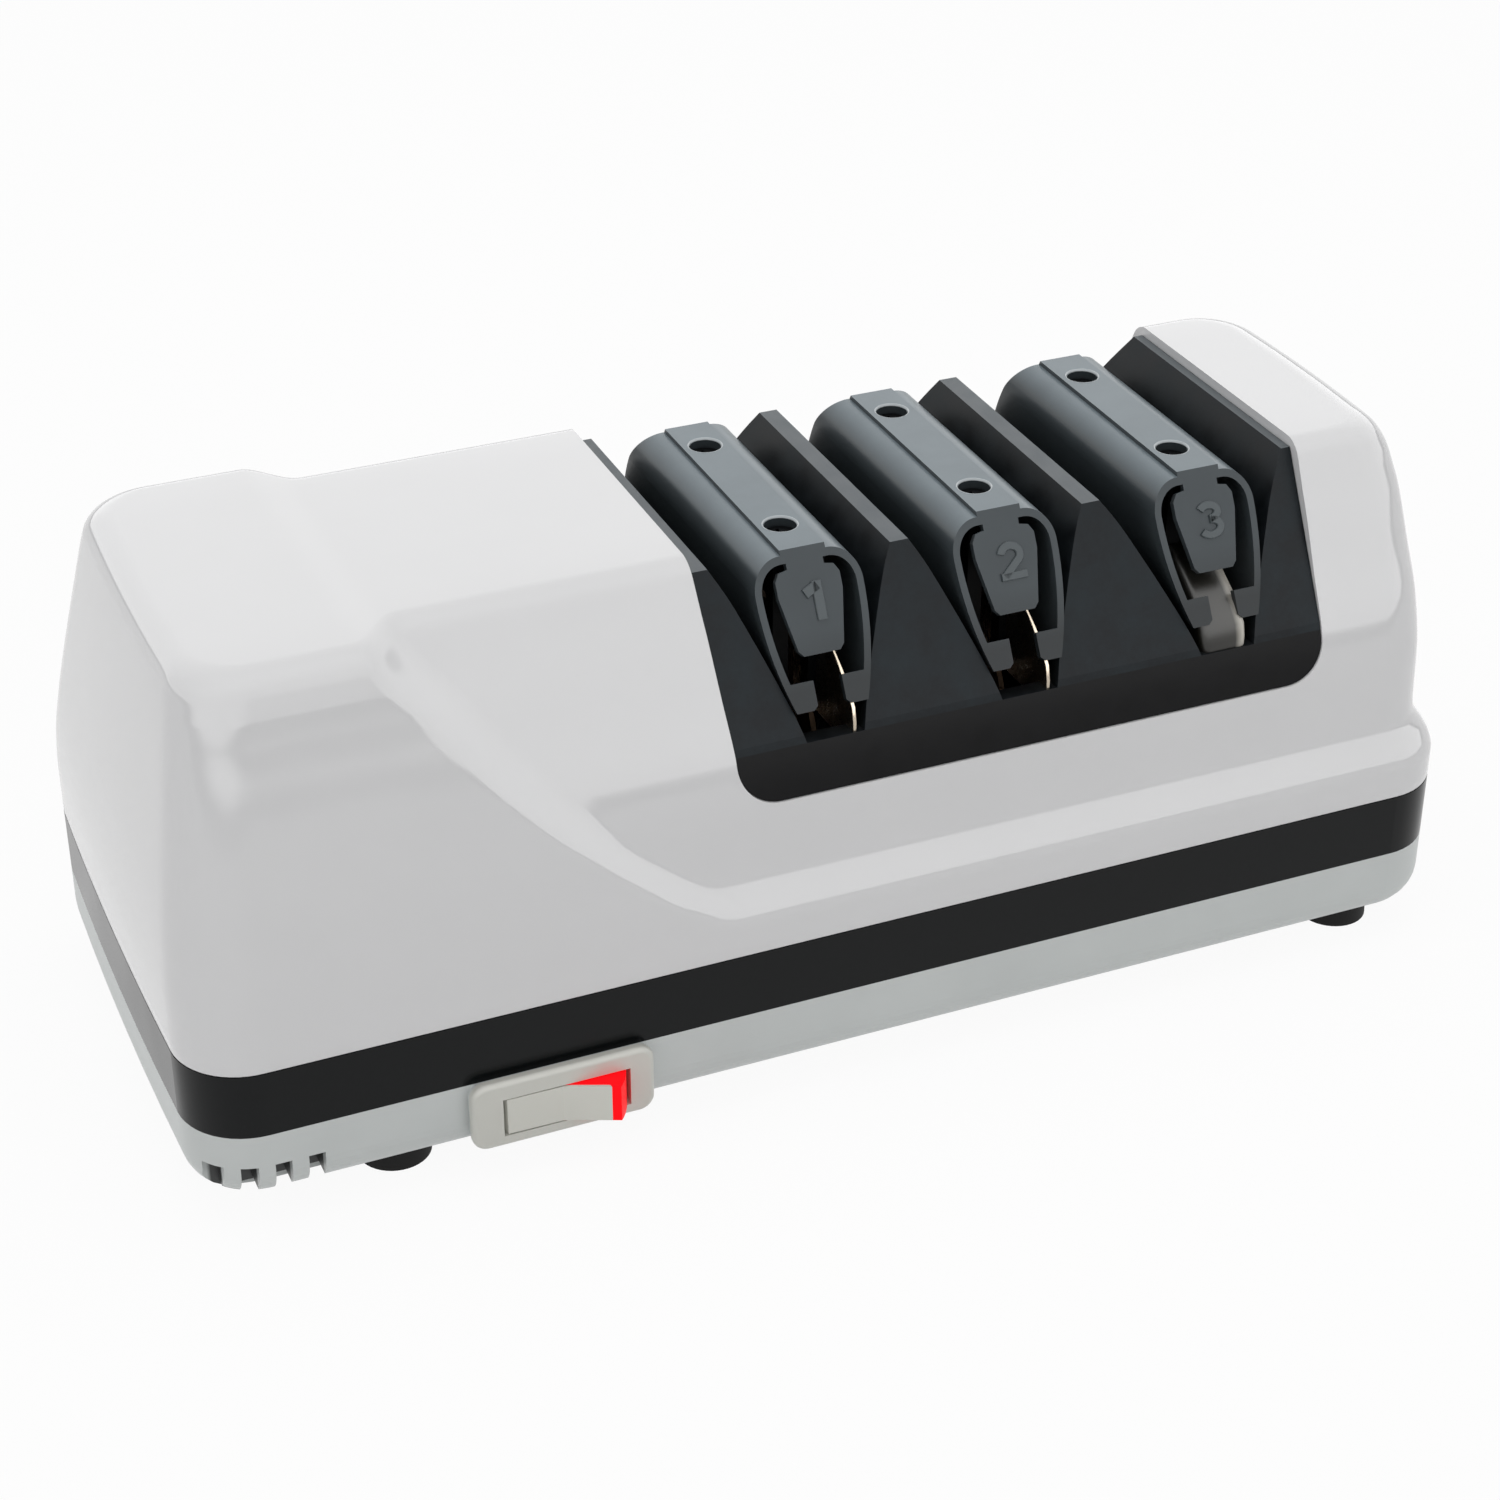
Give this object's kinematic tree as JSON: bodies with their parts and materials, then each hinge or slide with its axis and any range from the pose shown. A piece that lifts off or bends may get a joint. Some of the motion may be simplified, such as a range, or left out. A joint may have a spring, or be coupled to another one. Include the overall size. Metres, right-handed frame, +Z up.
{
  "type": "electric knife sharpener",
  "caption": "Free-standing electric knife sharpener: rounded white housing on a tray base with a dark band, stages with spring guides in the top, side rocker switch.",
  "frame": {"origin": "centre of the footprint, on the plane the rubber feet stand on", "axes": "+X along the length from the motor end towards the last stage, -Y to the front with the switch, +Z up"},
  "size_m": [0.254, 0.1207, 0.1032],
  "materials": {
    "white_housing": "gloss white ABS",
    "charcoal_band": "satin charcoal",
    "pale_base": "gloss white ABS",
    "foot_rubber": "black rubber",
    "zinc_screw": "zinc plated",
    "black_insert": "fine-textured black",
    "slate_guide": "dark slate grey",
    "bright_steel": "ground steel",
    "abrasive_disc": "steel with bonded grit",
    "strop_disc": "flexible grit-filled polymer",
    "lamination_steel": "varnished laminations",
    "bobbin_plastic": "natural nylon",
    "copper_winding": "taped enamelled wire",
    "cast_rotor": "cast cage rotor",
    "cast_bracket": "die cast",
    "bronze": "sintered bronze",
    "fan_plastic": "moulded nylon",
    "magnet": "ferrite",
    "lever_plastic": "moulded black",
    "switch_plastic": "cream white",
    "red_flag": "bright red"
  },
  "bodies": {
    "housing": {"base": "pale_base", "upper_housing": "white_housing", "trim_band": "charcoal_band", "feet": "foot_rubber", "foot_screws": "zinc_screw", "housing_screws": "zinc_screw", "stage_insert": "black_insert", "guide_spring_1": "slate_guide", "guide_spring_2": "slate_guide", "guide_spring_3": "slate_guide", "guide_screws": "zinc_screw", "stator_stack": "lamination_steel", "coil_bobbin": "bobbin_plastic", "coil_winding": "copper_winding", "rear_bracket": "cast_bracket", "front_bracket": "cast_bracket", "motor_bushes": "bronze", "motor_screws": "zinc_screw", "end_bush": "bronze", "cord_grommet": "foot_rubber", "switch_body": "switch_plastic"},
    "drive": {"drive_shaft": "bright_steel", "drive_pins": "bright_steel", "rotor": "cast_rotor", "fan": "fan_plastic", "disc_spring_1": "bright_steel", "disc_spring_2": "bright_steel", "disc_spring_3": "bright_steel"},
    "disc_1_left": {"disc_1_left": "abrasive_disc"},
    "disc_1_right": {"disc_1_right": "abrasive_disc"},
    "disc_2_left": {"disc_2_left": "abrasive_disc"},
    "disc_2_right": {"disc_2_right": "abrasive_disc"},
    "disc_3_left": {"disc_3_left": "strop_disc"},
    "disc_3_right": {"disc_3_right": "strop_disc"},
    "switch_rocker": {"rocker": "switch_plastic", "rocker_flag": "red_flag"},
    "cover": {"clean_out_cover": "pale_base", "dust_magnet": "magnet"},
    "lever": {"dressing_lever": "lever_plastic"}
  },
  "joints": [
    {"name": "drive_spin", "type": "hinge", "parent": "housing", "child": "drive", "pos_m": [0, -0.0035, 0.05], "axis": [1, 0, 0], "continuous": true},
    {"name": "disc_1_left_slide", "type": "slide", "parent": "drive", "child": "disc_1_left", "axis": [1, 0, 0], "range_m": [0, 0.0012], "stiffness_N_per_m": 500, "springref_m": -0.003, "deforming": ["disc_spring_1"]},
    {"name": "disc_1_right_slide", "type": "slide", "parent": "drive", "child": "disc_1_right", "axis": [-1, 0, 0], "range_m": [0, 0.0012], "stiffness_N_per_m": 500, "springref_m": -0.003},
    {"name": "disc_2_left_slide", "type": "slide", "parent": "drive", "child": "disc_2_left", "axis": [1, 0, 0], "range_m": [0, 0.0012], "stiffness_N_per_m": 500, "springref_m": -0.003, "deforming": ["disc_spring_2"]},
    {"name": "disc_2_right_slide", "type": "slide", "parent": "drive", "child": "disc_2_right", "axis": [-1, 0, 0], "range_m": [0, 0.0012], "stiffness_N_per_m": 500, "springref_m": -0.003},
    {"name": "disc_3_left_slide", "type": "slide", "parent": "drive", "child": "disc_3_left", "axis": [1, 0, 0], "range_m": [0, 0.0004], "stiffness_N_per_m": 500, "springref_m": -0.003, "deforming": ["disc_spring_3"]},
    {"name": "disc_3_right_slide", "type": "slide", "parent": "drive", "child": "disc_3_right", "axis": [-1, 0, 0], "range_m": [0, 0.0004], "stiffness_N_per_m": 500, "springref_m": -0.003},
    {"name": "rocker_tilt", "type": "hinge", "parent": "housing", "child": "switch_rocker", "pos_m": [-0.06, -0.053, 0.01315], "axis": [0, 0, 1], "range_deg": [0, 24]},
    {"name": "cover_release", "type": "slide", "parent": "housing", "child": "cover", "axis": [0, 0, -1], "range_m": [0, 0.0046]},
    {"name": "dressing_lever_swing", "type": "hinge", "parent": "housing", "child": "lever", "pos_m": [0.0762, 0.036, 0.042], "axis": [0, 0, 1], "range_deg": [-5.5, 5.5], "stiffness_Nm_per_rad": 0.5}
  ]
}
